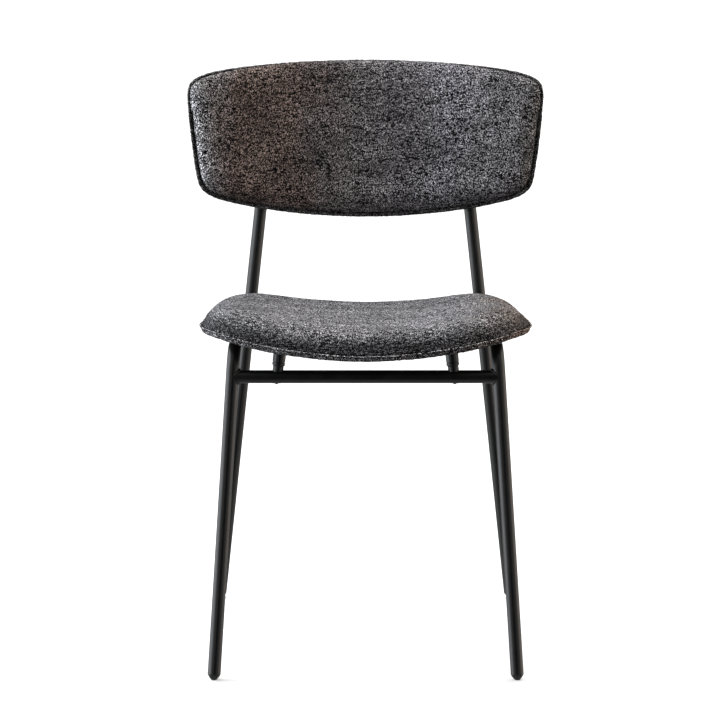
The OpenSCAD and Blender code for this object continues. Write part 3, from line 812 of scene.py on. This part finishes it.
# Centre lines of the tubes on the right, as in CAD
TUBE_R = (high("front_crossbar")[2] - low("front_crossbar")[2]) / 2
FOOT_DEPTH = 480
FRONT_FOOT = np.array([209, -FOOT_DEPTH / 2, 0])
FRONT_KNEE = np.array([179.8, 44.4 - FOOT_DEPTH / 2, 457.4])
REAR_FOOT = np.array([216.5, FOOT_DEPTH / 2, 0])
REAR_UP = np.array([-0.108, -0.093, 1])
FRONT_UP = FRONT_KNEE - FRONT_FOOT
RAIL_END = REAR_FOOT + REAR_UP * (FRONT_UP @ (FRONT_KNEE - REAR_FOOT)) / (FRONT_UP @ REAR_UP)

BEAD_R = 2.6
BEAD_RINGS = 180
BEAD_SIDES = 10
BEAD_RIPPLES = 34               # overlapping puddles round one joint


def unit(v):
    return v / np.linalg.norm(v, axis=-1, keepdims=True)


def bead_path(start, towards, axis_point, axis):
    """Where a tube that runs from start towards another tube meets that tube's surface: points of
    the saddle curve, the mean of the two surfaces' outward directions there, and how deep the
    corner between the surfaces is, from 0 where they run into each other to 1."""
    u, v = unit(towards - start), unit(axis)
    side = unit(np.cross(u, v))
    up = np.cross(side, u)
    angle = (np.arange(BEAD_RINGS) * math.tau / BEAD_RINGS)[:, None]
    outward = np.cos(angle) * side + np.sin(angle) * up
    surface = start + TUBE_R * outward
    across = (surface - axis_point) - ((surface - axis_point) @ v)[:, None] * v
    lead = u - (u @ v) * v
    a, b = lead @ lead, across @ lead
    c = (across * across).sum(1) - TUBE_R ** 2
    t = (-b - np.sqrt(np.maximum(b * b - a * c, 0))) / a
    points = surface + t[:, None] * u
    other = unit(across + t[:, None] * lead)
    depth = np.clip(1 - (outward * other).sum(1), 0, 1)
    return points, unit(outward + other), depth


def weld_bead(name, path):
    """A ring of weld metal whose surface shows the puddles it was laid in."""
    points, outward, depth = path
    forward = unit(np.roll(points, -1, 0) - np.roll(points, 1, 0))
    sideways = unit(np.cross(forward, outward))
    ripple = np.abs(np.sin(np.arange(BEAD_RINGS) * math.pi * BEAD_RIPPLES / BEAD_RINGS))
    radius = (BEAD_R * (0.84 + 0.16 * ripple) * np.sqrt(depth))[:, None]
    rings = []
    for k in range(BEAD_SIDES):
        turn = k * math.tau / BEAD_SIDES
        rings.append(points + radius * (math.cos(turn) * outward + math.sin(turn) * sideways))
    verts = np.stack(rings, 1).reshape(-1, 3)
    faces = [(a, d, c, b) for a, b, c, d in ring_faces(BEAD_RINGS, BEAD_SIDES)]
    make_object(name, verts, faces, powder)


def bar_line(node_name):
    """Middle of a crossbar's centre line, which runs along X."""
    return (low(node_name) + high(node_name)) / 2 * (0, 1, 1)


for side, side_name in ((-1, "left"), (1, "right")):
    mirror = np.array([side, 1, 1])
    far = np.array([side * 300, 0, 0])
    front_bar, rear_bar = bar_line("front_crossbar"), bar_line("rear_crossbar")
    rail = FRONT_KNEE * mirror
    joints = {
        "front_bar": (front_bar, front_bar + far, FRONT_FOOT * mirror, FRONT_UP * mirror),
        "rear_bar": (rear_bar, rear_bar + far, rail, (RAIL_END - FRONT_KNEE) * mirror),
        "side_rail": (rail, RAIL_END * mirror, REAR_FOOT * mirror, REAR_UP * mirror),
    }
    for joint_name, joint in joints.items():
        weld_bead(f"weld_{joint_name}_{side_name}", bead_path(*joint))


# ---------------------------------------------------------------- floor, lights and camera

REACH = 30                      # half size of the floor, in metres
CARD_DEPTH = 0.02


def stage_plane(name, corners, material_name, colour, glow=0.0, hidden=()):
    """A plane of the studio. hidden lists the kinds of ray that pass through it."""
    material, _, shader = new_material(material_name)
    set_inputs(shader, Base_Color=(*colour, 1), Roughness=0.9, Specular_IOR_Level=0.1)
    if glow:
        set_inputs(shader, Emission_Color=(1, 1, 1, 1), Emission_Strength=glow)
    mesh = bpy.data.meshes.new(name)
    mesh.from_pydata(corners, [], [(0, 1, 2, 3)])
    mesh.materials.append(material)
    made = bpy.data.objects.new(name, mesh)
    bpy.context.scene.collection.objects.link(made)
    for ray in hidden:
        setattr(made, "visible_" + ray, False)


def level_square(z):
    return [(-REACH, -REACH, z), (REACH, -REACH, z), (REACH, REACH, z), (-REACH, REACH, z)]


stage_plane("floor", level_square(0), "pale_floor", grey(0.55), 0.4,
            ("glossy", "diffuse", "shadow"))
# keeps the light that the floor throws up on the cloth low; only scattered light sees it
stage_plane("grey_card", level_square(-CARD_DEPTH), "grey_card", grey(0.0), 0.12,
            ("camera", "glossy", "shadow"))
# a dark edge for the tubes to reflect; only reflections see it
stage_plane("black_flag", [(-0.65, -2.6, -2), (1.2, -2.6, -2), (1.2, -2.6, 2.6), (-0.65, -2.6, 2.6)],
            "black_card", grey(0.0), hidden=("camera", "diffuse", "shadow"))


def area_light(name, place, aim, size, power, colour):
    light = bpy.data.lights.new(name, "AREA")
    light.shape = "RECTANGLE"
    light.size, light.size_y = size
    light.energy = power
    light.color = colour
    made = bpy.data.objects.new(name, light)
    made.location = place
    direction = Vector(aim) - Vector(place)
    made.rotation_euler = direction.to_track_quat("-Z", "Y").to_euler()
    bpy.context.scene.collection.objects.link(made)
    return made


area_light("left_softbox", (-2.6, -0.1, 0.7), (0, 0, 0.5), (3.0, 3.2), 95, (0.90, 0.95, 1.0))
area_light("right_softbox", (2.8, 0.2, 0.7), (0, 0, 0.5), (2.6, 3.2), 42, (1.0, 0.84, 0.72))
side_fill = area_light("left_fill", (-2.2, 0.35, 1.3), (0, 0.1, 0.7), (1.6, 1.6), 45,
                       (0.93, 0.96, 1.0))
side_fill.visible_glossy = False

sun = bpy.data.lights.new("top_light", "SUN")
sun.energy = 3.9
sun.angle = math.radians(60)
sun_object = bpy.data.objects.new("top_light", sun)
sun_object.rotation_euler = (math.radians(-24), math.radians(-4), 0)
bpy.context.scene.collection.objects.link(sun_object)

world = bpy.data.worlds.new("studio")
bpy.context.scene.world = world
world.use_nodes = True
set_inputs(world.node_tree.nodes["Background"], Color=(1, 1, 1, 1), Strength=0.45)
bpy.context.scene.view_settings.view_transform = "Standard"

CAMERA_PLACE = (-0.0078, -5.695, 1.4484)
CAMERA_DOWN = 10.4              # degrees below level

camera = bpy.data.cameras.new("camera")
camera.lens = 204.45
camera.sensor_width = 36
camera_object = bpy.data.objects.new("camera", camera)
camera_object.location = CAMERA_PLACE
camera_object.rotation_euler = (math.radians(90 - CAMERA_DOWN), 0, 0)
bpy.context.scene.collection.objects.link(camera_object)
bpy.context.scene.camera = camera_object
